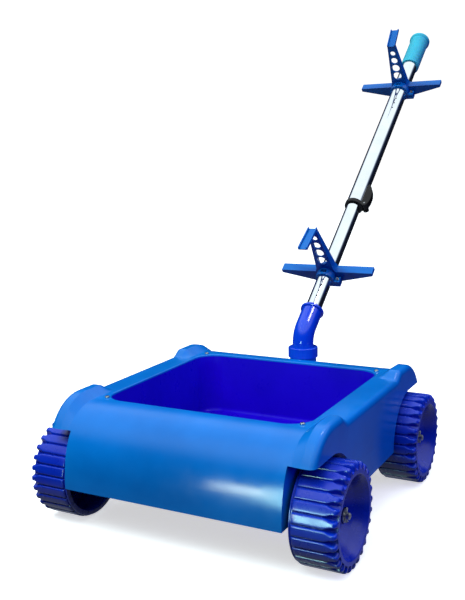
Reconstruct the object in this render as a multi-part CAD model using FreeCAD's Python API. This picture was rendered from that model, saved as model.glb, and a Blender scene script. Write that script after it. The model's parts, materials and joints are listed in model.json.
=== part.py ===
import FreeCAD, Part
import math
import os

Vector = FreeCAD.Vector
Placement = FreeCAD.Placement
Rotation = FreeCAD.Rotation

# Wheeled caddy for a robotic pool cleaner.
# Millimetres. X is across, +Y is rearwards and +Z is up. While it is being built, the
# origin is on the ground under the middle of the tub. settle() then moves every piece
# so that the origin is at the bottom centre of the whole object.

# ---- body shell ----
SIDE_X = 266.0            # half width of the shell
NOSE_Y = 316.0            # front and rear face, from the middle of the tub
NOSE_START_Y = 206.0      # where the rim begins to roll over towards the nose
RIM_Z = 231.0             # top of the rim
SKIRT_Z = 88.0            # lower edge of the shell
SHELL_T = 4.0             # wall of the shell
EDGE_R = 12.0             # rounding along the shell's outer top edge
NOSE_POWER = 2.4          # superellipse power of the nose curve
HUMP_Z = 245.0            # top of the four corner humps
HUMP_POWER = 2.2          # superellipse power of the hump's curve
HUMP_X = (222.0, 241.0)   # where a hump leaves the rim, and where it is full height
RAMP_Y = (138.0, 168.0)   # where a hump's ramp starts and ends

# ---- opening and tub ----
OPEN_X = 210.0            # half width of the opening
OPEN_Y = 201.0            # half depth of the opening
OPEN_R = 45.0             # corner radius of the opening
TUB_T = 3.0               # wall of the tub
TUB_FLOOR_Z = 95.0        # underside of the tub's floor
TUB_DRAFT = 4.0           # how far each tub wall leans in, top to bottom
TUB_FLOOR_R = 10.0        # rounding inside the tub, where its walls meet its floor
FLANGE_W = 9.0            # width of the tub's flange under the rim
SCREW_OUT = 9.0           # from the opening's corner curve to a tub screw

# ---- wheels and axles ----
WHEEL_Y = 217.0           # axle positions, front and rear of the middle
WHEEL_R = 92.0            # wheel radius over the lugs; also the axle height
WHEEL_X = 224.0           # inner face of a wheel
WHEEL_W = 82.0            # wheel width
LUG_COUNT = 28
LUG_HALF = 8.3            # half the width of a lug around the wheel
FINGER_HALF = 4.6         # half the width of a lug's outer end, which is narrower
SHOULDER_X = 60.0         # where the lugs begin to narrow and the tread to slope in
DRUM_R = 87.5             # tread radius between the lugs
LIP_R = 79.0              # radius of the wheel's outer lip
DISH_R = 71.0             # radius of the dish's mouth
WELL_R = 100.0            # wheel arch radius
WELL_X = 217.6            # inner wall of the wheel well
LIP_Z = WHEEL_R + WELL_R  # lower edge of the fender's lip
AXLE_R = 6.0
AXLE_FIT = 0.05           # radial running clearance on the axle
AXLE_END_X = 297.0
HUB_R = 15.0
HUB_X = (223.6, 286.0)    # inner and outer end of a wheel's hub
WASHER_R = 12.0
WASHER_T = 2.0
PIN_R = 1.2               # split pin
PIN_EYE_R = 2.4           # middle radius of the split pin's eye
PIN_X = 291.0
BUSH_R = 8.5
BOSS_R = 11.4
BOSS_X = 194.0            # inner end of the axle boss

# ---- socket and elbow ----
ELBOW_Y = 282.0           # upright axis of the elbow
ELBOW_R = 23.8
ELBOW_BEND_R = 48.0
SOCKET_BASE_Z = 125.0
SOCKET_TOP_Z = 248.0
SOCKET_R = 26.5
COLLAR_R = 33.5
COLLAR_H = 22.5
SCREW_DROP = 13.0         # from the collar's top down to the socket screw
PEDESTAL_R = 30.0
BEAD_R = 27.5

# ---- pole; s is the distance along its axis from POLE_A ----
LEAN = 51.5               # from upright, towards the rear
POLE_A = (364.1, 341.8)   # Y and Z of s = 0
BEND_Z = POLE_A[1] - (POLE_A[0] - ELBOW_Y) / math.tan(math.radians(LEAN))  # the elbow's axes meet
ELBOW_END_S = -28.0
LOWER_R = 18.5            # lower, inner tube
LOWER_S = (-78.0, 600.0)
UPPER_R = 22.0            # upper, outer tube
UPPER_S = (331.0, 1060.0)
TUBE_T = 1.2
SLIDE_FIT = 0.06          # radial clearance of the sliding bushes
GUIDE_L = 40.0            # guide bush on the top of the lower tube
LOWER_HOLES_S = (33.0, 16.0, -1.0)
UPPER_HOLES_S = (752.0, 731.0, 710.0)
HOLE_R = 2.4
HOLE_TURN = 20.0          # degrees that the holes are turned towards +X

# ---- telescope lock ----
LOCK_S = (321.0, 331.0)   # the ferrule's collar, below the upper tube's end
LOCK_R = 23.6
LOCK_NOSE = 20.0          # how far the ferrule reaches into the upper tube
LEVER_PIVOT = (30.5, 323.0)   # X and s of the lever's pin
LEVER_PIN_R = 2.0
LEVER_TIP_S = 400.0
LEVER_W = 18.0
LEVER_CAM_R = 5.0         # round end of the lever about its pin
LEVER_GAP = 0.5           # between the lever and the tube that it wraps
EAR_R = 7.5               # round end of the ferrule's ears
EAR_T = 4.0

# ---- cable holders, each a plate with flanges ----
LOWER_PLATE_S = 82.0
UPPER_PLATE_S = 820.0
FLANGE_DEPTH = 22.0
MAST_TIP_DEPTH = 8.0      # depth of the third arm's flanges at its tip
HOLDER_T = 3.0
ARM_REACH = 115.0
ARM_TOP = 11.0            # top of the side arms, forward of the pole axis
ARM_ROOT = -21.0          # lower edge of a side arm at the hub
ARM_TIP = 2.0             # lower edge of a side arm at the tip
MAST_TIP = 143.0          # reach of the third arm
MAST_BASE_W = 42.0
MAST_TIP_W = 22.5
MAST_HOLES = ((48.0, 11.5), (73.5, 10.8), (98.0, 9.0), (121.0, 7.0))
HOOK_W = 22.5
HOOK_T = 2.6
HOOK_WALL = 7.0           # height of the hook's side walls
CLAMP_T = 4.5             # wall of the clamp round the tube

# ---- grip ----
GRIP_S = (933.0, 1069.0)
GRIP_R = 26.4
GRIP_FLANGE_R = 30.0
GRIP_FLANGE_T = 9.0

X_AXIS = Vector(1, 0, 0)
Y_AXIS = Vector(0, 1, 0)
Z_AXIS = Vector(0, 0, 1)
SIDES = (-1, 1)


# ---- small helpers ----

def cylinder(radius, length, base, axis=Z_AXIS):
    return Part.makeCylinder(radius, length, Vector(*base), axis)


def ring(outer, inner, length, base, axis=Z_AXIS):
    return cylinder(outer, length, base, axis).cut(cylinder(inner, length, base, axis))


def box(low, high):
    size = [high[i] - low[i] for i in range(3)]
    return Part.makeBox(size[0], size[1], size[2], Vector(*low))


def polygon_face(points):
    return Part.Face(Part.makePolygon([Vector(*p) for p in points] + [Vector(*points[0])]))


def fuse_all(shapes):
    return shapes[0].multiFuse(shapes[1:]).removeSplitter()


def mirrored(shape, normal):
    return shape.mirror(Vector(0, 0, 0), normal)


def copies_at(shape, places):
    """The same solid at several places, as one compound of separate solids."""
    return Part.makeCompound([shape.translated(Vector(*p)) for p in places])


def on_pole(shape):
    """Lean a piece that was built upright along +Z, with its front towards -Y."""
    place = Placement(Vector(0, POLE_A[0], POLE_A[1]), Rotation(X_AXIS, -LEAN))
    return shape.transformed(place.toMatrix(), True)


def fillet_where(shape, radius, wanted):
    edges = [edge for edge in shape.Edges if wanted(edge)]
    return shape.makeFillet(radius, edges)


# ---- body shell: one quarter, mirrored twice ----

def nose_curve(x, inset, top_z, power, low_z):
    """The rolled front of the shell in the plane at x, from the rim down to low_z."""
    reach = NOSE_Y - inset - NOSE_START_Y
    rise = top_z - inset - SKIRT_Z
    end = math.acos(((low_z - SKIRT_Z) / rise) ** (power / 2))
    points = []
    for i in range(9):
        turn = end * i / 8
        y = NOSE_START_Y + reach * math.sin(turn) ** (2 / power)
        z = SKIRT_Z + rise * math.cos(turn) ** (2 / power)
        points.append(Vector(x, y, z))
    curve = Part.BSplineCurve()
    curve.interpolate(Points=points, InitialTangent=Y_AXIS)
    return curve.toShape()


def hump_section(x, inset, top_z, power, low_z):
    """Closed outline of a corner hump in the plane at x."""
    rim_z = RIM_Z - inset
    crown_z = top_z - inset
    near, far = RAMP_Y
    nose = nose_curve(x, inset, top_z, power, low_z)
    nose_end = nose.Vertexes[-1].Point
    ramp = Part.BSplineCurve()
    third = (far - near) / 3
    ramp.buildFromPolesMultsKnots(
        [
            Vector(x, near, rim_z),
            Vector(x, near + third, rim_z),
            Vector(x, far - third, crown_z),
            Vector(x, far, crown_z),
        ],
        [4, 4],
        [0.0, 1.0],
        False,
        3,
    )
    edges = [
        Part.makeLine(Vector(x, near, low_z), Vector(x, near, rim_z)),
        ramp.toShape(),
        Part.makeLine(Vector(x, far, crown_z), Vector(x, NOSE_START_Y, crown_z)),
        nose,
        Part.makeLine(nose_end, Vector(x, near, low_z)),
    ]
    return Part.Wire(edges)


def hump(inset):
    low_z = LIP_Z - 7.0
    sections = [
        hump_section(HUMP_X[0] - 1, inset + 0.5, RIM_Z, NOSE_POWER, low_z),
        hump_section(HUMP_X[1], inset, HUMP_Z, HUMP_POWER, low_z),
        hump_section(SIDE_X - inset, inset, HUMP_Z, HUMP_POWER, low_z),
    ]
    return Part.makeLoft(sections, True, True)


def quarter_block(inset):
    """The front right quarter of the shell's form, before the wheel well is taken out."""
    drop = 10.0 if inset else 0.0
    nose = nose_curve(0, inset, RIM_Z, NOSE_POWER, SKIRT_Z)
    top = nose.Vertexes[0].Point
    foot = nose.Vertexes[-1].Point
    edges = [
        Part.makeLine(Vector(0, 0, SKIRT_Z - drop), Vector(0, 0, top.z)),
        Part.makeLine(Vector(0, 0, top.z), top),
        nose,
    ]
    low = Vector(0, foot.y, SKIRT_Z - drop)
    if drop:
        edges.append(Part.makeLine(foot, low))
    edges.append(Part.makeLine(low, Vector(0, 0, SKIRT_Z - drop)))
    return Part.Face(Part.Wire(edges)).extrude(Vector(SIDE_X - inset, 0, 0))


def quarter_well(grow):
    """The wheel well: an arch over the wheel, open to the front, below and outside."""
    radius = WELL_R + grow
    centre = Vector(WELL_X - grow, WHEEL_Y, WHEEL_R)
    near = Vector(centre.x, WHEEL_Y - radius, WHEEL_R)
    top = Vector(centre.x, WHEEL_Y, WHEEL_R + radius)
    middle = centre + Vector(0, -radius, radius) / math.sqrt(2)
    far_y = NOSE_Y + 20
    edges = [
        Part.Arc(near, middle, top).toShape(),
        Part.makeLine(top, Vector(centre.x, far_y, top.z)),
        Part.makeLine(Vector(centre.x, far_y, top.z), Vector(centre.x, far_y, 0)),
        Part.makeLine(Vector(centre.x, far_y, 0), Vector(centre.x, near.y, 0)),
        Part.makeLine(Vector(centre.x, near.y, 0), near),
    ]
    return Part.Face(Part.Wire(edges)).extrude(Vector(SIDE_X, 0, 0))


def quarter_form(inset):
    form = quarter_block(inset).fuse(hump(inset)).cut(quarter_well(inset))
    side = SIDE_X - inset

    def outer_top_edge(edge):
        ends = [vertex.Point for vertex in edge.Vertexes]
        on_side = all(abs(p.x - side) < 0.01 for p in ends)
        above = min(p.z for p in ends) > LIP_Z + inset - 0.1
        return on_side and above and max(p.z for p in ends) > LIP_Z + inset + 1

    return fillet_where(form, EDGE_R - inset, outer_top_edge)


def rounded_prism(half_x, half_y, radius, low_z, high_z):
    prism = box((-half_x, -half_y, low_z), (half_x, half_y, high_z))
    upright = [e for e in prism.Edges if abs(e.tangentAt(e.FirstParameter).z) > 0.99]
    return prism.makeFillet(radius, upright)


def rim_edge(edge):
    points = [vertex.Point for vertex in edge.Vertexes]
    inside = all(abs(p.x) < OPEN_X + 1 and abs(p.y) < OPEN_Y + 1 for p in points)
    return inside and all(abs(p.z - RIM_Z) < 0.01 for p in points)


def body_shell():
    quarter = quarter_form(0.0).cut(quarter_form(SHELL_T))
    half = quarter.fuse(mirrored(quarter, X_AXIS))
    shell = half.fuse(mirrored(half, Y_AXIS)).removeSplitter()
    shell = shell.cut(rounded_prism(OPEN_X, OPEN_Y, OPEN_R, RIM_Z - 20, RIM_Z + 20))
    shell = fillet_where(shell, 3.0, rim_edge)
    bosses = [cylinder(PEDESTAL_R, 100, (0, ELBOW_Y, SOCKET_BASE_Z))]
    for x in SIDES:
        for y in SIDES:
            start = min(x * BOSS_X, x * WELL_X)
            bosses.append(
                cylinder(BOSS_R, WELL_X - BOSS_X, (start, y * WHEEL_Y, WHEEL_R), X_AXIS)
            )
    shell = fuse_all([shell] + bosses)
    for y in SIDES:
        shell = shell.cut(cylinder(BUSH_R, 2 * SIDE_X, (-SIDE_X, y * WHEEL_Y, WHEEL_R), X_AXIS))
    shell = shell.cut(cylinder(SOCKET_R, 200, (0, ELBOW_Y, SOCKET_BASE_Z - 20)))
    for place in tub_screw_places():
        shell = shell.cut(cylinder(2.0, 30, (place[0], place[1], RIM_Z - 20)))
    return shell


# ---- tub ----

def tapered_prism(half_x, half_y, radius, low_z, high_z, draft):
    def outline(shrink, z):
        prism = rounded_prism(half_x - shrink, half_y - shrink, radius - shrink, z, z + 1)
        base = min(prism.Faces, key=lambda face: face.CenterOfMass.z)
        return base.OuterWire

    return Part.makeLoft([outline(draft, low_z), outline(0.0, high_z)], True, True)


def tub():
    top = RIM_Z - SHELL_T
    outer = tapered_prism(
        OPEN_X + TUB_T, OPEN_Y + TUB_T, OPEN_R + TUB_T, TUB_FLOOR_Z, top, TUB_DRAFT
    )
    inner_z = TUB_FLOOR_Z + TUB_T
    inner = tapered_prism(OPEN_X, OPEN_Y, OPEN_R, inner_z, top, TUB_DRAFT)
    outer = fillet_where(outer, TUB_FLOOR_R + TUB_T, lambda e: lies_at(e, TUB_FLOOR_Z))
    inner = fillet_where(inner, TUB_FLOOR_R, lambda e: lies_at(e, inner_z))
    flange = rounded_prism(
        OPEN_X + TUB_T + FLANGE_W, OPEN_Y + TUB_T + FLANGE_W, OPEN_R + TUB_T + FLANGE_W,
        top - TUB_T, top,
    )
    flange = flange.cut(rounded_prism(OPEN_X, OPEN_Y, OPEN_R, top - TUB_T - 1, top + 1))
    shape = outer.fuse(flange).cut(inner)
    for place in tub_screw_places():
        boss = cylinder(5.5, 16, (place[0], place[1], top - TUB_T - 16))
        shape = shape.fuse(boss.cut(outer))
    for place in tub_screw_places():
        shape = shape.cut(cylinder(1.9, 18, (place[0], place[1], top - 16)))
    return shape.removeSplitter()


def lies_at(edge, z):
    return all(abs(vertex.Point.z - z) < 0.01 for vertex in edge.Vertexes)


def tub_screw_places():
    reach = (OPEN_R + SCREW_OUT) / math.sqrt(2)
    x = OPEN_X - OPEN_R + reach
    y = OPEN_Y - OPEN_R + reach
    return [(i * x, j * y) for i in SIDES for j in SIDES]


def tub_screws():
    head = cylinder(4.5, 3.2, (0, 0, RIM_Z))
    head = fillet_where(head, 1.6, lambda e: e.Vertexes[0].Point.z > RIM_Z + 3)
    screw = head.fuse(cylinder(1.9, 18, (0, 0, RIM_Z - 18)))
    slot = box((-0.5, -3.2, RIM_Z + 1.8), (0.5, 3.2, RIM_Z + 4))
    cross = box((-3.2, -0.5, RIM_Z + 1.8), (3.2, 0.5, RIM_Z + 4))
    screw = screw.cut(slot).cut(cross)
    return copies_at(screw, [(x, y, 0) for x, y in tub_screw_places()])


# ---- axles, bushes, washers and split pins ----

def axle(y):
    shape = cylinder(AXLE_R, 2 * AXLE_END_X, (-AXLE_END_X, y, WHEEL_R), X_AXIS)
    ends = [e for e in shape.Edges if len(e.Vertexes) == 1 or e.Length > 30]
    rims = [e for e in ends if abs(abs(e.CenterOfMass.x) - AXLE_END_X) < 0.1]
    shape = shape.makeChamfer(1.2, rims)
    for x in SIDES:
        shape = shape.cut(cylinder(PIN_R + 0.1, 30, (x * PIN_X, y, WHEEL_R - 15)))
    return shape


def axle_bushes():
    """A plain flanged bearing bush in each wheel well's wall."""
    sleeve = ring(BUSH_R, AXLE_R + AXLE_FIT, WELL_X - BOSS_X, (BOSS_X, 0, 0), X_AXIS)
    flange = ring(BOSS_R, AXLE_R + AXLE_FIT, 2.4, (WELL_X, 0, 0), X_AXIS)
    bush = sleeve.fuse(flange).removeSplitter()
    return at_wheels(bush)


def at_wheels(shape):
    """A piece made on the right side, at all four wheels."""
    solids = []
    for y in SIDES:
        place = Vector(0, y * WHEEL_Y, WHEEL_R)
        solids.append(shape.translated(place))
        solids.append(mirrored(shape, X_AXIS).translated(place))
    return Part.makeCompound(solids)


def axle_washers():
    inner = ring(WASHER_R, AXLE_R + 0.2, WASHER_T, (WELL_X + 2.7, 0, 0), X_AXIS)
    outer = ring(WASHER_R, AXLE_R + 0.2, WASHER_T, (HUB_X[1] + 0.6, 0, 0), X_AXIS)
    return Part.makeCompound([s for part in (inner, outer) for s in at_wheels(part).Solids])


def split_pins():
    """A round pin through the axle, with its eye above and its two legs spread below."""
    low = -AXLE_R - 2.0
    high = AXLE_R + 3.0
    stem = cylinder(PIN_R, high - low, (PIN_X, 0, low))
    eye = Part.makeTorus(PIN_EYE_R, PIN_R, Vector(PIN_X, 0, high + PIN_EYE_R), X_AXIS)
    legs = []
    for side in SIDES:
        leg = cylinder(PIN_R * 0.75, 5, (PIN_X, 0, low), Vector(0.15, side * 0.8, -0.58))
        legs.append(leg)
    return at_wheels(fuse_all([stem, eye] + legs))


# ---- wheel: made for the right side, with its axis on X ----

def wheel_profile():
    """Half section of the drum, dished face and hub, as (distance outward, radius)."""
    width = WHEEL_W
    hub_in = HUB_X[0] - WHEEL_X
    hub_out = HUB_X[1] - WHEEL_X
    bore = AXLE_R + AXLE_FIT
    return [
        (hub_in, bore), (hub_out, bore), (hub_out, HUB_R), (40, HUB_R + 1), (33, 24), (35, 36),
        (43, 48), (58, 59), (74, 66), (width - 1, DISH_R - 1), (width, DISH_R), (width, LIP_R),
        (SHOULDER_X + 2, DRUM_R), (4, DRUM_R), (3, 89), (0, 89), (0, 79),
        (3, 79), (6, 82), (60, 82), (66, 76), (66, 69), (54, 63), (38, 52), (30, 38),
        (28, 22), (24, HUB_R), (hub_in, HUB_R),
    ]


def revolved(outline):
    """A ring about the wheel's axis, from (distance outward, radius) points."""
    section = polygon_face([(x + WHEEL_X, 0, r) for x, r in outline])
    return section.revolve(Vector(0, 0, 0), X_AXIS, 360)


def lug_envelope():
    """The band that the lugs fill: round tops, and outer ends rounded down to the lip."""
    base = LIP_R - 2
    return revolved([
        (5, base), (5, WHEEL_R - 2), (7, WHEEL_R), (WHEEL_W - 5, WHEEL_R),
        (WHEEL_W - 2, WHEEL_R - 1.5), (WHEEL_W, WHEEL_R - 6), (WHEEL_W, base),
    ])


def lug_block():
    """One lug as an upright block: wide across the tread, then a narrow finger."""
    half = [
        (4, LUG_HALF), (SHOULDER_X, LUG_HALF), (SHOULDER_X + 8, 6.0),
        (SHOULDER_X + 15, FINGER_HALF), (WHEEL_W + 1, FINGER_HALF - 0.6),
    ]
    outline = half + [(x, -y) for x, y in reversed(half)]
    face = polygon_face([(x + WHEEL_X, y, LIP_R - 3) for x, y in outline])
    return face.extrude(Vector(0, 0, WHEEL_R - LIP_R + 4))


def wheel():
    drum = revolved(wheel_profile())
    block = lug_block()
    blocks = []
    for i in range(LUG_COUNT):
        copy = block.copy()
        copy.rotate(Vector(0, 0, 0), X_AXIS, 180 + 360.0 * i / LUG_COUNT)
        blocks.append(copy)
    lugs = lug_envelope().common(Part.makeCompound(blocks))
    return drum.multiFuse(lugs.Solids).removeSplitter()


def placed_wheel(shape, side, y):
    turned = shape if side > 0 else mirrored(shape, X_AXIS)
    return turned.translated(Vector(0, y, WHEEL_R))


# ---- socket, elbow and its screws ----

def pole_socket():
    """The sleeve that holds the elbow upright in the rear of the shell."""
    sleeve = cylinder(SOCKET_R, SOCKET_TOP_Z - SOCKET_BASE_Z, (0, ELBOW_Y, SOCKET_BASE_Z))
    step_z = SOCKET_BASE_Z + 100
    step = cylinder(PEDESTAL_R, SOCKET_TOP_Z - step_z, (0, ELBOW_Y, step_z))
    collar = cylinder(COLLAR_R, COLLAR_H, (0, ELBOW_Y, SOCKET_TOP_Z - COLLAR_H))
    collar = fillet_where(collar, 2.0, lambda e: e.CenterOfMass.z > SOCKET_TOP_Z - 1)
    shape = fuse_all([sleeve, step, collar])
    shape = shape.cut(cylinder(ELBOW_R + 0.05, 200, (0, ELBOW_Y, SOCKET_BASE_Z + 4)))
    shape = shape.cut(cylinder(ELBOW_R - 6, 20, (0, ELBOW_Y, SOCKET_BASE_Z - 10)))
    return shape.cut(cylinder(2.0, 60, (0, ELBOW_Y, SOCKET_TOP_Z - SCREW_DROP), Y_AXIS))


def bent_rod(radius, low_z, end_s):
    """A solid rod along the elbow's bent axis, from low_z up to end_s on the pole."""
    tangent = ELBOW_BEND_R * math.tan(math.radians(LEAN / 2))
    bend_low = Vector(0, ELBOW_Y, BEND_Z - tangent)
    upright = cylinder(radius, bend_low.z - low_z, (0, ELBOW_Y, low_z))
    centre = bend_low + Vector(0, ELBOW_BEND_R, 0)
    disc = Part.Face(Part.Wire(Part.makeCircle(radius, bend_low, Z_AXIS)))
    bend = disc.revolve(centre, X_AXIS, -LEAN)
    along = Vector(0, math.sin(math.radians(LEAN)), math.cos(math.radians(LEAN)))
    bend_high = Vector(0, ELBOW_Y, BEND_Z) + along * tangent
    finish = Vector(0, POLE_A[0], POLE_A[1]) + along * end_s
    straight = cylinder(radius, (finish - bend_high).dot(along), bend_high, along)
    return fuse_all([upright, bend, straight])


def pole_elbow():
    shape = bent_rod(ELBOW_R, SOCKET_BASE_Z + 4.5, ELBOW_END_S)
    bead = cylinder(BEAD_R, 8, (0, 0, ELBOW_END_S - 10))
    bead = on_pole(bead.makeFillet(3.0, [e for e in bead.Edges if len(e.Vertexes) == 1]))
    shape = shape.fuse(bead)
    bore = bent_rod(LOWER_R + 0.05, SOCKET_BASE_Z - 20, ELBOW_END_S + 20)
    shape = shape.cut(bore)
    shape = shape.cut(cylinder(1.9, 60, (0, ELBOW_Y, SOCKET_TOP_Z - SCREW_DROP), Y_AXIS))
    return shape.cut(on_pole(cylinder(1.9, 40, (0, 0, ELBOW_END_S - 22), Y_AXIS)))


def pan_screw(head_r, head_h, shank_r, shank_l):
    """A pan head screw with its head's underside at the origin, pointing along -Y."""
    head = cylinder(head_r, head_h, (0, 0, 0), Y_AXIS)
    head = fillet_where(head, head_h * 0.45, lambda e: e.Vertexes[0].Point.y > head_h - 0.01)
    slot = box((-0.5, head_h - 1.2, -head_r * 0.7), (0.5, head_h + 1, head_r * 0.7))
    cross = box((-head_r * 0.7, head_h - 1.2, -0.5), (head_r * 0.7, head_h + 1, 0.5))
    shank = cylinder(shank_r, shank_l, (0, -shank_l, 0), Y_AXIS)
    return head.cut(slot).cut(cross).fuse(shank)


def socket_screw():
    screw = pan_screw(4.5, 3.0, 1.85, COLLAR_R - LOWER_R - 1)
    return screw.translated(Vector(0, ELBOW_Y + COLLAR_R, SOCKET_TOP_Z - SCREW_DROP))


def elbow_screw():
    screw = pan_screw(4.5, 3.0, 1.8, ELBOW_R - LOWER_R + TUBE_T + 1)
    return on_pole(screw.translated(Vector(0, ELBOW_R, ELBOW_END_S - 22)))


# ---- telescopic pole, built upright and then leaned ----

def hole_axis():
    turn = math.radians(HOLE_TURN)
    return Vector(math.sin(turn), -math.cos(turn), 0)


def tube(radius, span, holes):
    shape = ring(radius, radius - TUBE_T, span[1] - span[0], (0, 0, span[0]))
    for s in holes:
        shape = shape.cut(cylinder(HOLE_R, radius + 5, (0, 0, s), hole_axis()))
    return shape


def lower_tube():
    shape = tube(LOWER_R, LOWER_S, LOWER_HOLES_S)
    shape = shape.cut(cylinder(1.9, 40, (0, 0, ELBOW_END_S - 22), Y_AXIS))
    return on_pole(shape)


def upper_tube():
    return on_pole(tube(UPPER_R, UPPER_S, UPPER_HOLES_S))


def guide_bush():
    """Plastic bush plugged in the lower tube's top; it slides in the upper tube."""
    top = LOWER_S[1]
    head = ring(UPPER_R - TUBE_T - SLIDE_FIT, 10, 14, (0, 0, top))
    plug = ring(LOWER_R - TUBE_T, 10, GUIDE_L, (0, 0, top - GUIDE_L))
    return on_pole(head.fuse(plug).removeSplitter())


def ear_places():
    """Middle of each of the ferrule's ears, along Y while upright."""
    return [side * (LEVER_W / 2 + 0.3 + EAR_T / 2) for side in SIDES]


def lock_ferrule():
    """Plug and collar on the foot of the upper tube, with two ears for the lever's pin."""
    low, high = LOCK_S
    shape = cylinder(LOCK_R, high - low, (0, 0, low))
    x, s = LEVER_PIVOT
    for y in ear_places():
        ear = box((LOWER_R, y - EAR_T / 2, low), (x, y + EAR_T / 2, s + EAR_R))
        cap = cylinder(EAR_R, EAR_T, (x, y - EAR_T / 2, s), Y_AXIS)
        shape = shape.fuse(ear.fuse(cap))
    shape = shape.cut(cylinder(UPPER_R, 3 * LOCK_NOSE, (0, 0, high)))
    shape = shape.fuse(cylinder(UPPER_R - TUBE_T, LOCK_NOSE, (0, 0, high)))
    shape = shape.cut(cylinder(LOWER_R + SLIDE_FIT, 4 * LOCK_NOSE, (0, 0, low - LOCK_NOSE)))
    for y in ear_places():
        shape = shape.cut(cylinder(LEVER_PIN_R, EAR_T + 2, (x, y - EAR_T / 2 - 1, s), Y_AXIS))
    return on_pole(shape.removeSplitter())


def lever_pin():
    x, s = LEVER_PIVOT
    half = LEVER_W / 2 + EAR_T + 1.0
    return on_pole(cylinder(LEVER_PIN_R, 2 * half, (x, -half, s), Y_AXIS))


def lock_lever():
    """Plump lever that wraps the side of the upper tube and swings outwards about its pin."""
    x, s = LEVER_PIVOT
    half = LEVER_W / 2
    cam_x = x - LEVER_CAM_R
    heel_s = LOCK_S[1] + 2
    cam_turn = math.radians(20)
    cam_end = (x + LEVER_CAM_R * math.cos(cam_turn), s - LEVER_CAM_R * math.sin(cam_turn))
    tip = (UPPER_R + 3, LEVER_TIP_S)

    def at(point):
        return Vector(point[0], -half, point[1])

    back = Part.BSplineCurve()
    bulge = ((x + 8.5, s + 12), (x + 9.5, s + 32), (x + 5.0, s + 56))
    back.interpolate([at(point) for point in (cam_end, *bulge, tip)])
    inner = (LOWER_R, LEVER_TIP_S - 6)
    heel = (LOWER_R, heel_s)
    edges = [
        Part.Arc(at((cam_x, s)), at((x, s - LEVER_CAM_R)), at(cam_end)).toShape(),
        back.toShape(),
        Part.makeLine(at(tip), at(inner)),
        Part.makeLine(at(inner), at(heel)),
        Part.makeLine(at(heel), at((cam_x, heel_s))),
        Part.makeLine(at((cam_x, heel_s)), at((cam_x, s))),
    ]
    lever = Part.Face(Part.Wire(edges)).extrude(Vector(0, LEVER_W, 0))
    outer_edges = [
        e for e in lever.Edges
        if e.Length > LEVER_TIP_S - s - 20 and e.CenterOfMass.x > UPPER_R + 5
    ]
    lever = lever.makeFillet(2.5, outer_edges)
    lever = lever.cut(cylinder(UPPER_R + LEVER_GAP, 200, (0, 0, s - 50)))
    lever = lever.cut(cylinder(LEVER_PIN_R + AXLE_FIT, LEVER_W, (x, -half, s), Y_AXIS))
    return on_pole(lever)


# ---- cable holders; forward of the pole is -Y while upright ----

def holder_plate(plate_s):
    """Outline plate of the three arms, with flanges along its edges."""
    side_half = MAST_BASE_W / 2
    tip_half = MAST_TIP_W / 2
    outline = [
        (-ARM_REACH, -ARM_TOP), (-side_half - 4, -ARM_TOP), (-side_half, -ARM_TOP - 10),
        (-tip_half, -MAST_TIP), (tip_half, -MAST_TIP), (side_half, -ARM_TOP - 10),
        (side_half + 4, -ARM_TOP), (ARM_REACH, -ARM_TOP), (ARM_REACH, -ARM_TIP),
        (30, -ARM_ROOT), (-30, -ARM_ROOT), (-ARM_REACH, -ARM_TIP),
    ]
    face = polygon_face([(x, y, plate_s) for x, y in outline])
    tray = face.extrude(Vector(0, 0, FLANGE_DEPTH))
    inner_wire = face.OuterWire.makeOffset2D(-HOLDER_T)
    pocket = Part.Face(inner_wire).extrude(Vector(0, 0, FLANGE_DEPTH))
    tray = tray.cut(pocket.translated(Vector(0, 0, HOLDER_T)))
    slope = [
        (-side_half, FLANGE_DEPTH), (-MAST_TIP - 1, MAST_TIP_DEPTH),
        (-MAST_TIP - 1, FLANGE_DEPTH + 1), (-side_half, FLANGE_DEPTH + 1),
    ]
    wedge = polygon_face([(-MAST_BASE_W, y, plate_s + s) for y, s in slope])
    tray = tray.cut(wedge.extrude(Vector(2 * MAST_BASE_W, 0, 0)))
    for reach, radius in MAST_HOLES:
        tray = tray.cut(cylinder(radius, HOLDER_T + 2, (0, -reach, plate_s - 1)))
    return tray


def holder_hook(low_s, high_s, low_n, high_n):
    """Shallow channel across the third arm's end, from low_s to high_s along the pole."""
    length = math.hypot(high_s - low_s, high_n - low_n)
    floor = box((-HOOK_W / 2, -HOOK_T, 0), (HOOK_W / 2, 0, length))
    walls = []
    for side in SIDES:
        x = side * (HOOK_W / 2 - HOOK_T / 2)
        wall = box((x - HOOK_T / 2, -HOOK_WALL, 0), (x + HOOK_T / 2, 0, length))
        walls.append(wall)
    strip = fuse_all([floor] + walls)
    tilt = math.degrees(math.atan2(high_n - low_n, high_s - low_s))
    strip.rotate(Vector(0, 0, 0), X_AXIS, tilt)
    return strip.translated(Vector(0, -low_n, low_s))


def tube_clamp(plate_s, tube_r):
    """Clamp round the tube, with a window at the front and a split ear at one side."""
    outer = tube_r + CLAMP_T
    low = plate_s - 18
    length = plate_s + FLANGE_DEPTH - low
    shape = cylinder(outer, length, (0, 0, low))
    ear = box((0, 4, low), (outer + 13, 20, low + 16))
    shape = shape.fuse(ear)
    window = box((-7, -outer - 1, plate_s - 12), (7, 0, plate_s - 4))
    split = box((tube_r / 2, 11, low - 1), (outer + 14, 13, plate_s - 2))
    return shape.cut(window).cut(split)


def holder(plate_s, tube_r, hook):
    tray = holder_plate(plate_s)
    shape = fuse_all([tray, tube_clamp(plate_s, tube_r), holder_hook(*hook)])
    shape = shape.cut(cylinder(tube_r + 0.02, 80, (0, 0, plate_s - 40)))
    shape = shape.cut(cylinder(2.2, 40, clamp_hole(plate_s, tube_r, -10), Y_AXIS))
    return on_pole(shape)


def clamp_hole(plate_s, tube_r, y):
    return (tube_r + CLAMP_T + 7, y, plate_s - 10)


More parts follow.
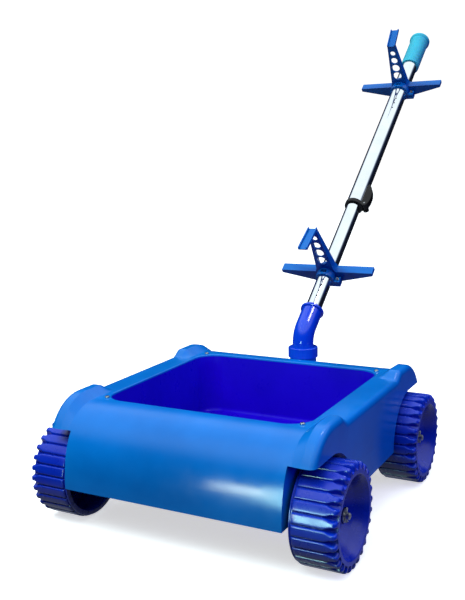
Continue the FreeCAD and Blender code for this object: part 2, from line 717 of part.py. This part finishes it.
def holder_bolt(plate_s, tube_r):
    x, y, s = clamp_hole(plate_s, tube_r, 20)
    bolt = pan_screw(4.0, 3.0, 2.0, 22)
    return on_pole(bolt.translated(Vector(x, y, s)))


def holder_nut(plate_s, tube_r):
    x, y, s = clamp_hole(plate_s, tube_r, 4)
    corners = []
    for i in range(6):
        turn = math.radians(60 * i)
        corners.append((x + 4.2 * math.cos(turn), y - 3.4, s + 4.2 * math.sin(turn)))
    nut = polygon_face(corners).extrude(Vector(0, 3.4, 0))
    return on_pole(nut.cut(cylinder(2.0, 10, (x, y - 6, s), Y_AXIS)))


# ---- grip ----

def grip():
    low, high = GRIP_S
    body = cylinder(GRIP_R, high - low, (0, 0, low))
    body = fillet_where(body, 2.5, lambda e: len(e.Vertexes) == 1 and e.CenterOfMass.z < low + 1)
    flange = cylinder(GRIP_FLANGE_R, GRIP_FLANGE_T, (0, 0, high - GRIP_FLANGE_T))
    flange = flange.makeFillet(3.0, [e for e in flange.Edges if len(e.Vertexes) == 1])
    shape = body.fuse(flange)
    return on_pole(shape.cut(cylinder(UPPER_R, UPPER_S[1] - low, (0, 0, low))))


# ---- all the pieces ----

def all_pieces():
    pieces = {
        "body_shell": body_shell(),
        "tub": tub(),
        "tub_screws": tub_screws(),
        "front_axle": axle(-WHEEL_Y),
        "rear_axle": axle(WHEEL_Y),
        "axle_bushes": axle_bushes(),
        "axle_washers": axle_washers(),
        "split_pins": split_pins(),
        "pole_socket": pole_socket(),
        "socket_screw": socket_screw(),
        "pole_elbow": pole_elbow(),
        "elbow_screw": elbow_screw(),
        "lower_tube": lower_tube(),
        "guide_bush": guide_bush(),
        "upper_tube": upper_tube(),
        "lock_ferrule": lock_ferrule(),
        "lever_pin": lever_pin(),
        "lock_lever": lock_lever(),
        "grip": grip(),
    }
    wheel_shape = wheel()
    for y, end in ((-WHEEL_Y, "front"), (WHEEL_Y, "rear")):
        for side, hand in ((-1, "left"), (1, "right")):
            pieces[f"{end}_{hand}_wheel"] = placed_wheel(wheel_shape, side, y)
    lower_hook = (LOWER_PLATE_S - 64, LOWER_PLATE_S + MAST_TIP_DEPTH, 148.0, MAST_TIP - 1)
    upper_hook = (UPPER_PLATE_S, UPPER_PLATE_S + 56, MAST_TIP - 1, 158.0)
    for name, plate_s, tube_r, hook in (
        ("lower", LOWER_PLATE_S, LOWER_R, lower_hook),
        ("upper", UPPER_PLATE_S, UPPER_R, upper_hook),
    ):
        pieces[f"{name}_cable_holder"] = holder(plate_s, tube_r, hook)
        pieces[f"{name}_holder_bolt"] = holder_bolt(plate_s, tube_r)
        pieces[f"{name}_holder_nut"] = holder_nut(plate_s, tube_r)
    return pieces


def settle(pieces):
    """Move the pieces so that the origin is at the bottom centre of the whole object."""
    bounds = [shape.optimalBoundingBox(True, False) for shape in pieces.values()]
    middle_y = (min(b.YMin for b in bounds) + max(b.YMax for b in bounds)) / 2
    for name in pieces:
        pieces[name] = pieces[name].translated(Vector(0, -middle_y, 0))
    return middle_y


os.makedirs("parts", exist_ok=True)
PIECES = all_pieces()
TUB_OFFSET_Y = -settle(PIECES)
for node, piece in PIECES.items():
    piece.exportStep(f"parts/{node}.step")
    print(node, len(piece.Solids), piece.isValid(), round(piece.Volume))
print("middle of the tub at y =", round(TUB_OFFSET_Y, 3))
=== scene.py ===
import json
import math

import bmesh
import bpy
from mathutils import Matrix, Vector


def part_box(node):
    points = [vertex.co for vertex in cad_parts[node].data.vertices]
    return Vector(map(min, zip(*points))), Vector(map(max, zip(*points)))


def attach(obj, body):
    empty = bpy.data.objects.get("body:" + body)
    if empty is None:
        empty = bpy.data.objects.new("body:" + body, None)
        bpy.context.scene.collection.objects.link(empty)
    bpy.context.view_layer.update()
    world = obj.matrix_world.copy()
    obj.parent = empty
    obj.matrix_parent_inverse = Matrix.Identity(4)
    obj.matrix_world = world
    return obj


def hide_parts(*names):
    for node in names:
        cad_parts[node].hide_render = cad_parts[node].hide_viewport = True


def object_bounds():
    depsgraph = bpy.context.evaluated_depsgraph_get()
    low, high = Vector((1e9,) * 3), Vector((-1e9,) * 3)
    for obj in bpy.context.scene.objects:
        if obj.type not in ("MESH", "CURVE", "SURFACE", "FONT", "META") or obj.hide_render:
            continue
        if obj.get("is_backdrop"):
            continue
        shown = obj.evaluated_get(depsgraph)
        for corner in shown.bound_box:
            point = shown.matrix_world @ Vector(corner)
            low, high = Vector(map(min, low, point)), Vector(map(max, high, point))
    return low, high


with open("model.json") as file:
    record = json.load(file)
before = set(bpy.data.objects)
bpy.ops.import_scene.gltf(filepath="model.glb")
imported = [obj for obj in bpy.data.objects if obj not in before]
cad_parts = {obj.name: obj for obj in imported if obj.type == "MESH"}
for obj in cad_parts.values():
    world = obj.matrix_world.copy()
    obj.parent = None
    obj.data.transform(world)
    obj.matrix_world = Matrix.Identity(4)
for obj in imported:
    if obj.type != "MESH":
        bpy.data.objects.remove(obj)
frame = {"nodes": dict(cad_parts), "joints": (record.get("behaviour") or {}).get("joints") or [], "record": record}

CAD_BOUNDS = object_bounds()

# ---------------------------------------------------------------- places from the frame

NODES = frame["nodes"]
JOINTS = {joint["name"]: joint for joint in frame["joints"]}
SHELL_LOW, SHELL_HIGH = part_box("body_shell")
TUB_Y = (SHELL_LOW.y + SHELL_HIGH.y) / 2
POLE_DIR = Vector(JOINTS["pole_telescope"]["axis"]).normalized()
SIDE = Vector((1.0, 0.0, 0.0))
FORWARD = SIDE.cross(POLE_DIR).normalized()      # square to the pole, up and to the front
if FORWARD.z < 0:
    FORWARD = -FORWARD


# ---------------------------------------------------------------- material helpers

def new_material(name):
    material = bpy.data.materials.new(name)
    material.use_nodes = True
    tree = material.node_tree
    shader = tree.nodes["Principled BSDF"]
    return material, tree, shader


def add_node(tree, kind, **values):
    node = tree.nodes.new(kind)
    for key, value in values.items():
        if hasattr(node, key):
            setattr(node, key, value)
        else:
            node.inputs[key.replace("_", " ")].default_value = value
    return node


def place_coords(tree, scale):
    """Object coordinates, stretched by scale."""
    source = tree.nodes.new("ShaderNodeTexCoord")
    mapping = tree.nodes.new("ShaderNodeMapping")
    mapping.inputs["Scale"].default_value = scale
    tree.links.new(source.outputs["Object"], mapping.inputs["Vector"])
    return mapping.outputs["Vector"]


def noise(tree, coords, scale, detail=4.0, rough=0.55):
    node = add_node(tree, "ShaderNodeTexNoise", Scale=scale, Detail=detail, Roughness=rough)
    tree.links.new(coords, node.inputs["Vector"])
    return node.outputs["Fac"]


def ramp(tree, factor, stops):
    """Colour ramp; stops are (place, colour)."""
    node = tree.nodes.new("ShaderNodeValToRGB")
    elements = node.color_ramp.elements
    while len(elements) > 1:
        elements.remove(elements[0])
    elements[0].position, elements[0].color = stops[0][0], (*stops[0][1], 1.0)
    for place, colour in stops[1:]:
        element = elements.new(place)
        element.color = (*colour, 1.0)
    tree.links.new(factor, node.inputs["Fac"])
    return node.outputs["Color"]


def spread(tree, value, low, high, to_low, to_high):
    node = tree.nodes.new("ShaderNodeMapRange")
    for key, number in zip(
        ("From Min", "From Max", "To Min", "To Max"), (low, high, to_low, to_high)
    ):
        node.inputs[key].default_value = number
    tree.links.new(value, node.inputs["Value"])
    return node.outputs["Result"]


def mix_colour(tree, factor, first, second, mode="MIX"):
    node = tree.nodes.new("ShaderNodeMix")
    node.data_type = "RGBA"
    node.blend_type = mode
    if hasattr(factor, "is_output"):
        tree.links.new(factor, node.inputs[0])
    else:
        node.inputs[0].default_value = factor
    for socket, colour in ((node.inputs[6], first), (node.inputs[7], second)):
        if hasattr(colour, "is_output"):
            tree.links.new(colour, socket)
        else:
            socket.default_value = (*colour, 1.0)
    return node.outputs[2]


def bump(tree, shader, height, strength, distance):
    node = add_node(tree, "ShaderNodeBump", Strength=strength, Distance=distance)
    tree.links.new(height, node.inputs["Height"])
    previous = shader.inputs["Normal"].links
    if previous:
        tree.links.new(previous[0].from_socket, node.inputs["Normal"])
    tree.links.new(node.outputs["Normal"], shader.inputs["Normal"])


def edge_wear(tree, low=0.52, high=0.60):
    """Where the surface is convex, from 0 to 1."""
    geometry = tree.nodes.new("ShaderNodeNewGeometry")
    return spread(tree, geometry.outputs["Pointiness"], low, high, 0.0, 1.0)


def moulded_plastic(name, deep, light, worn, roughness, grain=0.00006, coat=0.25, ior=1.5):
    """Coloured moulded plastic: mottled colour, fine mould grain, scuffs and worn edges."""
    material, tree, shader = new_material(name)
    coords = place_coords(tree, (1, 1, 1))
    clouds = noise(tree, coords, 7.0, 3.0)
    colour = ramp(tree, clouds, [(0.35, deep), (0.68, light)])
    specks = noise(tree, coords, 420.0, 2.0)
    dirt = spread(tree, specks, 0.62, 0.72, 0.0, 0.10)
    colour = mix_colour(tree, dirt, colour, tuple(c * 0.55 for c in deep))
    scuff_coords = place_coords(tree, (1.0, 7.0, 2.5))
    scuffs = noise(tree, scuff_coords, 60.0, 6.0, 0.7)
    scuff_mask = spread(tree, scuffs, 0.66, 0.76, 0.0, 0.22)
    colour = mix_colour(tree, scuff_mask, colour, worn)
    edges = edge_wear(tree)
    faded = tree.nodes.new("ShaderNodeMath")
    faded.operation = "MULTIPLY"
    faded.inputs[1].default_value = 0.30
    tree.links.new(edges, faded.inputs[0])
    colour = mix_colour(tree, faded.outputs[0], colour, worn)
    tree.links.new(colour, shader.inputs["Base Color"])
    haze = noise(tree, coords, 24.0, 5.0, 0.65)
    tree.links.new(
        spread(tree, haze, 0.3, 0.75, roughness * 0.78, roughness * 1.35),
        shader.inputs["Roughness"],
    )
    bump(tree, shader, noise(tree, coords, 1500.0, 2.0), 0.35, grain)
    bump(tree, shader, noise(tree, coords, 22.0, 3.0), 0.30, grain * 6)
    shader.inputs["Coat Weight"].default_value = coat
    shader.inputs["Coat Roughness"].default_value = 0.12
    shader.inputs["IOR"].default_value = ior
    return material


def chrome(name):
    """Polished tube: fine grain, fingerprints and slight clouding."""
    material, tree, shader = new_material(name)
    coords = place_coords(tree, (1, 1, 1))
    clouds = noise(tree, coords, 30.0, 4.0)
    colour = ramp(tree, clouds, [(0.3, (0.80, 0.82, 0.85)), (0.7, (0.90, 0.91, 0.93))])
    tree.links.new(colour, shader.inputs["Base Color"])
    shader.inputs["Metallic"].default_value = 1.0
    smears = noise(tree, coords, 55.0, 6.0, 0.7)
    tree.links.new(spread(tree, smears, 0.35, 0.75, 0.05, 0.16), shader.inputs["Roughness"])
    bump(tree, shader, noise(tree, coords, 900.0, 2.0), 0.12, 0.00003)
    return material


def plated_steel(name, tone=0.55):
    """Zinc plated steel with spangle, darker patches and fine scratches."""
    material, tree, shader = new_material(name)
    coords = place_coords(tree, (1, 1, 1))
    patches = noise(tree, coords, 90.0, 5.0)
    dark = (tone * 0.55, tone * 0.56, tone * 0.60)
    bright = (tone * 1.1, tone * 1.1, tone * 1.12)
    tree.links.new(ramp(tree, patches, [(0.35, dark), (0.65, bright)]), shader.inputs["Base Color"])
    shader.inputs["Metallic"].default_value = 1.0
    scratches = noise(tree, place_coords(tree, (1, 14, 14)), 260.0, 3.0)
    tree.links.new(spread(tree, scratches, 0.3, 0.7, 0.22, 0.45), shader.inputs["Roughness"])
    bump(tree, shader, scratches, 0.3, 0.00005)
    return material


def soft_rubber(name):
    """Turquoise rubber: matt, fine pebbled grain."""
    material, tree, shader = new_material(name)
    coords = place_coords(tree, (1, 1, 1))
    clouds = noise(tree, coords, 28.0, 5.0)
    colour = ramp(tree, clouds, [(0.3, (0.008, 0.42, 0.60)), (0.7, (0.02, 0.56, 0.74))])
    edges = edge_wear(tree)
    colour = mix_colour(tree, edges, colour, (0.08, 0.66, 0.80))
    tree.links.new(colour, shader.inputs["Base Color"])
    grain = add_node(tree, "ShaderNodeTexVoronoi", Scale=900.0)
    tree.links.new(coords, grain.inputs["Vector"])
    tree.links.new(spread(tree, clouds, 0.3, 0.7, 0.42, 0.58), shader.inputs["Roughness"])
    bump(tree, shader, grain.outputs["Distance"], 0.5, 0.00012)
    shader.inputs["Sheen Weight"].default_value = 0.15
    return material


MATERIALS = {
    "shell": moulded_plastic(
        "shell_plastic", (0.0002, 0.140, 0.52), (0.0004, 0.172, 0.62), (0.004, 0.26, 0.80), 0.20,
        coat=0.0, ior=1.36,
    ),
    # Tub plastic: violet-blue with almost no green. This is painted shade standing in for the shade inside the
    # tub.
    "tub": moulded_plastic(
        "tub_plastic_painted_shade", (0.010, 0.0003, 0.48), (0.015, 0.0006, 0.58), (0.02, 0.03, 0.75), 0.30,
        coat=0.0, ior=1.2,
    ),
    "wheel": moulded_plastic(
        "wheel_plastic", (0.001, 0.018, 0.42), (0.002, 0.036, 0.52), (0.01, 0.20, 0.80), 0.26,
        coat=0.0, ior=1.48,
    ),
    # Holder plastic: the shell's blue made darker. This is painted shade standing in for the shade on the holder
    # plates.
    "holder": moulded_plastic(
        "holder_plastic_painted_shade", (0.0005, 0.070, 0.34), (0.001, 0.100, 0.44), (0.01, 0.26, 0.80), 0.20,
        coat=0.0, ior=1.3,
    ),
    "elbow": moulded_plastic(
        "elbow_plastic", (0.001, 0.040, 0.60), (0.002, 0.060, 0.70), (0.02, 0.25, 0.85), 0.12
    ),
    "tube": chrome("chrome_tube"),
    "axle": plated_steel("zinc_steel"),
    "black": moulded_plastic(
        "black_nylon", (0.003, 0.002, 0.002), (0.007, 0.005, 0.005), (0.03, 0.026, 0.026), 0.30,
        coat=0.0, ior=1.3,
    ),
    "grip": soft_rubber("grip_rubber"),
}

NODE_SLOTS = {row["node"]: row["material_slot"] for row in frame["record"]["subparts"]}


def paint(obj, slot):
    obj.data.materials.clear()
    obj.data.materials.append(MATERIALS[slot])


def soften(obj, degrees=32):
    """Smooth shading, with creases kept where faces meet at more than this angle."""
    obj.data.shade_smooth()
    obj.data.set_sharp_from_angle(angle=math.radians(degrees))


for node_name, node_object in NODES.items():
    paint(node_object, NODE_SLOTS[node_name])


# ---------------------------------------------------------------- mesh helpers

MM = 0.001


def mesh_piece(name, vertices, faces, slot, body):
    """A new piece from plain lists, with its faces turned outwards."""
    mesh = bpy.data.meshes.new(name)
    mesh.from_pydata(vertices, [], faces)
    build = bmesh.new()
    build.from_mesh(mesh)
    bmesh.ops.recalc_face_normals(build, faces=build.faces)
    build.to_mesh(mesh)
    build.free()
    piece = bpy.data.objects.new(name, mesh)
    bpy.context.scene.collection.objects.link(piece)
    paint(piece, slot)
    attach(piece, body)
    return piece


def loop_faces(row_count, column_count, closed_rows=True):
    """Quads of a grid that closes on itself round its columns, and round its rows if asked."""
    faces = []
    last = row_count if closed_rows else row_count - 1
    for i in range(last):
        below = (i + 1) % row_count
        for j in range(column_count):
            beside = (j + 1) % column_count
            faces.append((
                i * column_count + j,
                i * column_count + beside,
                below * column_count + beside,
                below * column_count + j,
            ))
    return faces


def rounded_line(points, steps=4):
    """An open line of (x, y, corner radius) points, with each corner turned into an arc."""
    line = [Vector(points[0][:2])]
    for before, here, after in zip(points, points[1:], points[2:]):
        corner = Vector(here[:2])
        way_in = Vector(before[:2]) - corner
        way_out = Vector(after[:2]) - corner
        if here[2] == 0:
            line.append(corner)
            continue
        turn = way_in.angle(way_out)
        cut = min(here[2] / math.tan(turn / 2), way_in.length * 0.49, way_out.length * 0.49)
        start = corner + way_in.normalized() * cut
        end = corner + way_out.normalized() * cut
        for i in range(steps + 1):
            t = i / steps
            line.append(start * (1 - t) ** 2 + corner * 2 * t * (1 - t) + end * t ** 2)
    line.append(Vector(points[-1][:2]))
    return line


# ---------------------------------------------------------------- wheels

LUG_COUNT = 28
LUG_HALF = 8.3          # half width of a lug on the tread
FINGER_HALF = 4.7       # half width of a lug's outer end
TREAD_R = 87.5          # between the lugs
LIP_R = 79.0
SHOULDER_X = 60.0
TREAD_IN_R = 89.0       # the rim ring beside the shell
DRUM_IN_R = 79.2        # the drum's inner wall
BORE_R = 6.05
HUB_R = 15.0
HUB_IN = -0.4           # the hub's inner end, from the wheel's inner face
HUB_OUT = 62.0
# Across half a lug: how far outside the lug's edge, and how high between tread and top.
LUG_EDGE = ((-2.2, 1.0), (-1.3, 0.97), (-0.6, 0.86), (0.0, 0.62), (0.5, 0.28), (1.1, 0.06), (1.9, 0.0))


def ease(value, low, high):
    t = min(max((value - low) / (high - low), 0.0), 1.0)
    return t * t * (3 - 2 * t)


def lug_half_width(x, width):
    narrowed = LUG_HALF + (FINGER_HALF - LUG_HALF) * ease(x, SHOULDER_X, width - 8)
    end = max(x - (width - 5.5), 0.0) / 6.2
    return narrowed * math.sqrt(1 - end * end)


def lug_top(x, width, radius):
    if x < 7.5:
        return radius - 2.0 * ((7.5 - x) / 2.5) ** 2
    end = max(x - (width - 6.0), 0.0) / 6.4
    return radius - 8.0 * (1 - math.sqrt(1 - end * end))


def tread_radius(x, width):
    slope = min(max((x - SHOULDER_X) / (width - SHOULDER_X), 0.0), 1.0)
    return TREAD_R - (TREAD_R - LIP_R) * math.sin(slope * math.pi / 2)


def wheel_row(x, half, heights):
    """One ring of points; heights gives the radius from the share of lug height."""
    pitch = 2 * math.pi / LUG_COUNT
    arc = pitch * heights(0.0) / 2
    side = [(0.0, 1.0), ((half - 2.2) * 0.55, 1.0)]
    side += [(half + out, share) for out, share in LUG_EDGE]
    side += [((half + 1.9 + arc) / 2, 0.0)]
    across = [(-y, share) for y, share in reversed(side[1:])] + side + [(arc, 0.0)]
    ring = []
    for lug in range(LUG_COUNT):
        for y, share in across:
            turn = lug * pitch + y / heights(0.0)
            r = heights(share)
            ring.append((x, r * math.sin(turn), -r * math.cos(turn)))
    return ring


def wheel_rows(width, radius):
    """Rings from the inner edge over the tread and lip, into the dish and round the back."""
    rows = []

    def plain(x, r, half):
        rows.append(wheel_row(x, half, lambda share: r))

    inner_edge = [
        (3, DRUM_IN_R, 0), (0, DRUM_IN_R, 1.2), (0, TREAD_IN_R, 1.2), (2.6, TREAD_IN_R, 0.6),
        (3.4, TREAD_R, 0.4), (4.9, TREAD_R, 0),
    ]
    for x, r in rounded_line(inner_edge):
        plain(x, r, LUG_HALF)
    tread = [5.0, 5.3, 5.8, 6.5, 7.5, 14, 24, 34, 44, 52, 57]
    tread += [SHOULDER_X + 1.5 * i for i in range(11)]
    tread += [width - 5.5 + i for i in (0.0, 1.0, 2.0, 3.0, 3.8, 4.5, 5.0, 5.5)]
    for x in tread:
        low = tread_radius(x, width)
        high = lug_top(x, width, radius)
        half = lug_half_width(x, width)
        rows.append(wheel_row(x, half, lambda share, a=low, b=high: a + (b - a) * share))
    front = [
        (width, LIP_R - 0.3, 0), (width, 71.5, 1.4), (width - 3.2, 69.6, 4), (74, 66.5, 12),
        (58, 59, 18), (43, 48, 16), (35.5, 36, 12), (33, 24, 6), (38, 16.5, 5),
        (HUB_OUT, HUB_R, 1.2), (HUB_OUT, BORE_R, 0),
    ]
    for x, r in rounded_line(front, 5):
        plain(x, r, FINGER_HALF)
    back = [
        (HUB_IN, BORE_R, 0), (HUB_IN, HUB_R, 1.0), (24, HUB_R, 3), (28, 22, 4), (30, 38, 8),
        (38, 52, 12), (54, 63, 10), (66, 69, 2), (66, 76, 2), (60, 82, 4), (6, 82, 3),
        (3, DRUM_IN_R, 0),
    ]
    for x, r in rounded_line(back, 4)[:-1]:
        plain(x, r, LUG_HALF)
    return rows


def make_wheel(node):
    """One wheel from its own body's box, with its hub against the shell."""
    low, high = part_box(node)
    centre = (low + high) / 2
    outward = 1 if centre.x > 0 else -1
    inner_x = min(abs(low.x), abs(high.x))
    outer_x = max(abs(low.x), abs(high.x))
    face_x = inner_x - HUB_IN * MM
    width = (outer_x - face_x) / MM
    radius = (high.z - low.z) / 2 / MM
    rows = wheel_rows(width, radius)
    vertices = []
    for ring in rows:
        for x, y, z in ring:
            vertices.append((outward * (face_x + x * MM), centre.y + y * MM, centre.z + z * MM))
    columns = len(rows[0])
    wheel = mesh_piece(node + "_tyre", vertices, loop_faces(len(rows), columns), "wheel", node)
    soften(wheel, 40)
    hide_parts(node)


for wheel_node in ("front_left_wheel", "front_right_wheel", "rear_left_wheel", "rear_right_wheel"):
    make_wheel(wheel_node)


# ---------------------------------------------------------------- grip

def pole_frame(node):
    """Where a node on the pole starts and ends along it, and how far it reaches outward."""
    points = [vertex.co for vertex in NODES[node].data.vertices]
    along = [point.dot(POLE_DIR) for point in points]
    outward = [point.dot(FORWARD) for point in points]
    low, high = min(along), max(along)
    origin = POLE_DIR * low + FORWARD * (min(outward) + max(outward)) / 2
    radius = max(abs(point.x) for point in points)
    return origin, high - low, radius


GRIP_BODY_R = 26.3
GRIP_BORE_R = 22.05
GRIP_RINGS = 22
GRIP_GROOVE = 0.7       # how deep a finger ring's groove is
GRIP_BORE_STOP = 9.0    # from the top end to the blind bore's end
GRIP_INSET = 0.05       # keeps the sleeve's ends inside the CAD grip's
GRIP_SEGMENTS = 64


def make_grip():
    """Rubber sleeve: rolled lower end, shallow finger rings and a thick rounded end flange."""
    origin, length, flange_r = pole_frame("grip")
    mm_length = length / MM
    bore_end = mm_length - GRIP_BORE_STOP
    outline = [
        (bore_end, 1.0, 0), (bore_end, GRIP_BORE_R, 0), (GRIP_INSET, GRIP_BORE_R, 0),
        (GRIP_INSET, GRIP_BODY_R - 0.2, 2.2), (5.0, GRIP_BODY_R - 0.2, 2.0),
    ]
    first, last = 8.0, mm_length - 18.0
    pitch = (last - first) / GRIP_RINGS
    for i in range(GRIP_RINGS):
        s = first + pitch * i
        outline += [
            (s, GRIP_BODY_R, 0.3), (s + 0.9, GRIP_BODY_R - GRIP_GROOVE, 0.3),
            (s + 1.8, GRIP_BODY_R, 0.3),
        ]
    flange_start = mm_length - 9.0
    end = mm_length - GRIP_INSET
    rim_r = flange_r / MM - 0.3
    outline += [
        (flange_start - 5, GRIP_BODY_R, 2.0), (flange_start, rim_r, 2.0), (end, rim_r, 3.2),
        (end, 8.0, 2.0), (end - 2.0, 6.0, 0.5), (end - 2.0, 1.0, 0),
    ]
    rows = [(point.x, point.y) for point in rounded_line(outline, 4)]
    vertices = []
    for s, r in rows:
        for j in range(GRIP_SEGMENTS):
            turn = 2 * math.pi * j / GRIP_SEGMENTS
            place = origin + POLE_DIR * (s * MM)
            place += (SIDE * math.cos(turn) + FORWARD * math.sin(turn)) * (r * MM)
            vertices.append(tuple(place))
    faces = loop_faces(len(rows), GRIP_SEGMENTS, closed_rows=False)
    faces.append(tuple(range(GRIP_SEGMENTS)))
    last_row = (len(rows) - 1) * GRIP_SEGMENTS
    faces.append(tuple(last_row + j for j in range(GRIP_SEGMENTS)))
    grip = mesh_piece("grip_sleeve", vertices, faces, "grip", "upper_pole")
    soften(grip, 40)
    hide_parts("grip")


make_grip()


# ---------------------------------------------------------------- floor, light and camera

FLOOR_SIZE = 30.0


def make_floor():
    """A pale floor. It takes shadows, and neither lights the object nor shows in its gloss."""
    half = FLOOR_SIZE / 2
    mesh = bpy.data.meshes.new("floor")
    corners = [(-half, -half, 0), (half, -half, 0), (half, half, 0), (-half, half, 0)]
    mesh.from_pydata(corners, [], [(0, 1, 2, 3)])
    floor = bpy.data.objects.new("floor", mesh)
    bpy.context.scene.collection.objects.link(floor)
    material, tree, shader = new_material("floor_paint")
    clouds = noise(tree, place_coords(tree, (1, 1, 1)), 1.2)
    tone = ramp(tree, clouds, [(0.3, (0.94, 0.94, 0.94)), (0.7, (0.97, 0.97, 0.97))])
    tree.links.new(tone, shader.inputs["Base Color"])
    shader.inputs["Roughness"].default_value = 0.9
    shader.inputs["Specular IOR Level"].default_value = 0.0
    shader.inputs["Emission Color"].default_value = (1.0, 1.0, 1.0, 1.0)
    shader.inputs["Emission Strength"].default_value = 0.60
    mesh.materials.append(material)
    floor.visible_diffuse = False
    floor.visible_glossy = False
    floor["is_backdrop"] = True


def make_world():
    """A white backdrop, and a soft sky, brightest overhead. Gloss also shows a pale ground."""
    world = bpy.data.worlds.new("studio")
    bpy.context.scene.world = world
    world.use_nodes = True
    tree = world.node_tree
    background = tree.nodes["Background"]
    coords = tree.nodes.new("ShaderNodeTexCoord")
    split = tree.nodes.new("ShaderNodeSeparateXYZ")
    tree.links.new(coords.outputs["Generated"], split.inputs[0])
    height = spread(tree, split.outputs["Z"], -1.0, 1.0, 0.0, 1.0)
    sky = [
        (0.68, (0.006, 0.010, 0.025)),
        (0.74, (0.09, 0.12, 0.20)),
        (0.81, (0.95, 1.06, 1.10)),
    ]
    pale_ground = [
        (0.24, (0.30, 0.34, 0.44)),
        (0.36, (0.05, 0.06, 0.10)),
        (0.44, (0.004, 0.004, 0.008)),
    ]
    lit = ramp(tree, height, [(0.50, (0.002, 0.002, 0.005))] + sky)
    mirrored = ramp(tree, height, pale_ground + sky)
    path = tree.nodes.new("ShaderNodeLightPath")
    seen = mix_colour(tree, path.outputs["Is Glossy Ray"], lit, mirrored)
    shown = mix_colour(tree, path.outputs["Is Camera Ray"], seen, (1.0, 1.0, 1.0))
    tree.links.new(shown, background.inputs["Color"])
    background.inputs["Strength"].default_value = 1.1


def area_light(name, place, target, size, power, colour):
    data = bpy.data.lights.new(name, "AREA")
    data.shape = "RECTANGLE"
    data.size, data.size_y = size
    data.energy = power
    data.color = colour
    light = bpy.data.objects.new(name, data)
    light.location = place
    aim = Vector(target) - Vector(place)
    light.rotation_euler = aim.to_track_quat("-Z", "Y").to_euler()
    light.visible_camera = False
    bpy.context.scene.collection.objects.link(light)
    return light


def gloss_card(name, target, way, distance, size, power, colour):
    """A light that only shows as a highlight: way points from target to the card."""
    place = Vector(target) + Vector(way) * distance
    card = area_light(name, place, target, size, power, colour)
    card.visible_diffuse = False
    return card


def make_lights():
    """Key, violet-blue fill, and cards for the highlights on the panel, a wheel and the elbow."""
    tub = (0.0, TUB_Y, 0.2)
    key_place = (-0.7, TUB_Y - 1.7, 3.0)
    fill_place = (2.4, TUB_Y + 0.3, 0.8)
    key = area_light("key", key_place, tub, (2.4, 1.8), 88, (0.84, 0.98, 1.0))
    fill = area_light("fill", fill_place, tub, (1.6, 1.0), 16, (0.12, 0.03, 1.0))
    for light in (key, fill):
        light.visible_glossy = False
    gloss_card(
        "panel_glare", (0.15, TUB_Y - 0.316, 0.187), (-0.446, -0.879, -0.082), 0.35,
        (0.11, 0.06), 0.55, (0.9, 1.0, 0.72),
    )
    gloss_card(
        "tread_glare", (0.262, TUB_Y - 0.306, 0.116), (-0.356, -0.932, 0.066), 0.8,
        (0.22, 0.30), 6.0, (0.5, 1.0, 0.85),
    )
    gloss_card(
        "elbow_glare", (0.0, TUB_Y + 0.33, 0.315), (0.383, 0.011, 0.925), 1.2,
        (0.14, 0.30), 3.0, (1.0, 0.92, 0.95),
    )


def make_camera():
    azimuth = math.radians(28.72)
    elevation = math.radians(10.05)
    roll = math.radians(-1.47)
    place = Vector((0.7624, TUB_Y - 1.4862, 0.6900))
    back = Vector((
        math.sin(azimuth) * math.cos(elevation),
        -math.cos(azimuth) * math.cos(elevation),
        math.sin(elevation),
    ))
    right = Vector((math.cos(azimuth), math.sin(azimuth), 0.0))
    up = back.cross(right)
    rolled_right = right * math.cos(roll) + up * math.sin(roll)
    rolled_up = up * math.cos(roll) - right * math.sin(roll)
    data = bpy.data.cameras.new("camera")
    data.lens = 51.64
    data.shift_x = 0.0165
    data.shift_y = 0.0071
    camera = bpy.data.objects.new("camera", data)
    turn = Matrix((rolled_right, rolled_up, back)).transposed().to_4x4()
    camera.matrix_world = Matrix.Translation(place) @ turn
    bpy.context.scene.collection.objects.link(camera)
    bpy.context.scene.camera = camera


make_floor()
make_world()
make_lights()
make_camera()
bpy.context.scene.view_settings.view_transform = "Standard"


# ---------------------------------------------------------------- size and finish

def write_sizes():
    def plain(bounds):
        return [[float(v) for v in corner] for corner in bounds]

    {"cad": plain(CAD_BOUNDS), "visual": plain(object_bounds())}


write_sizes()
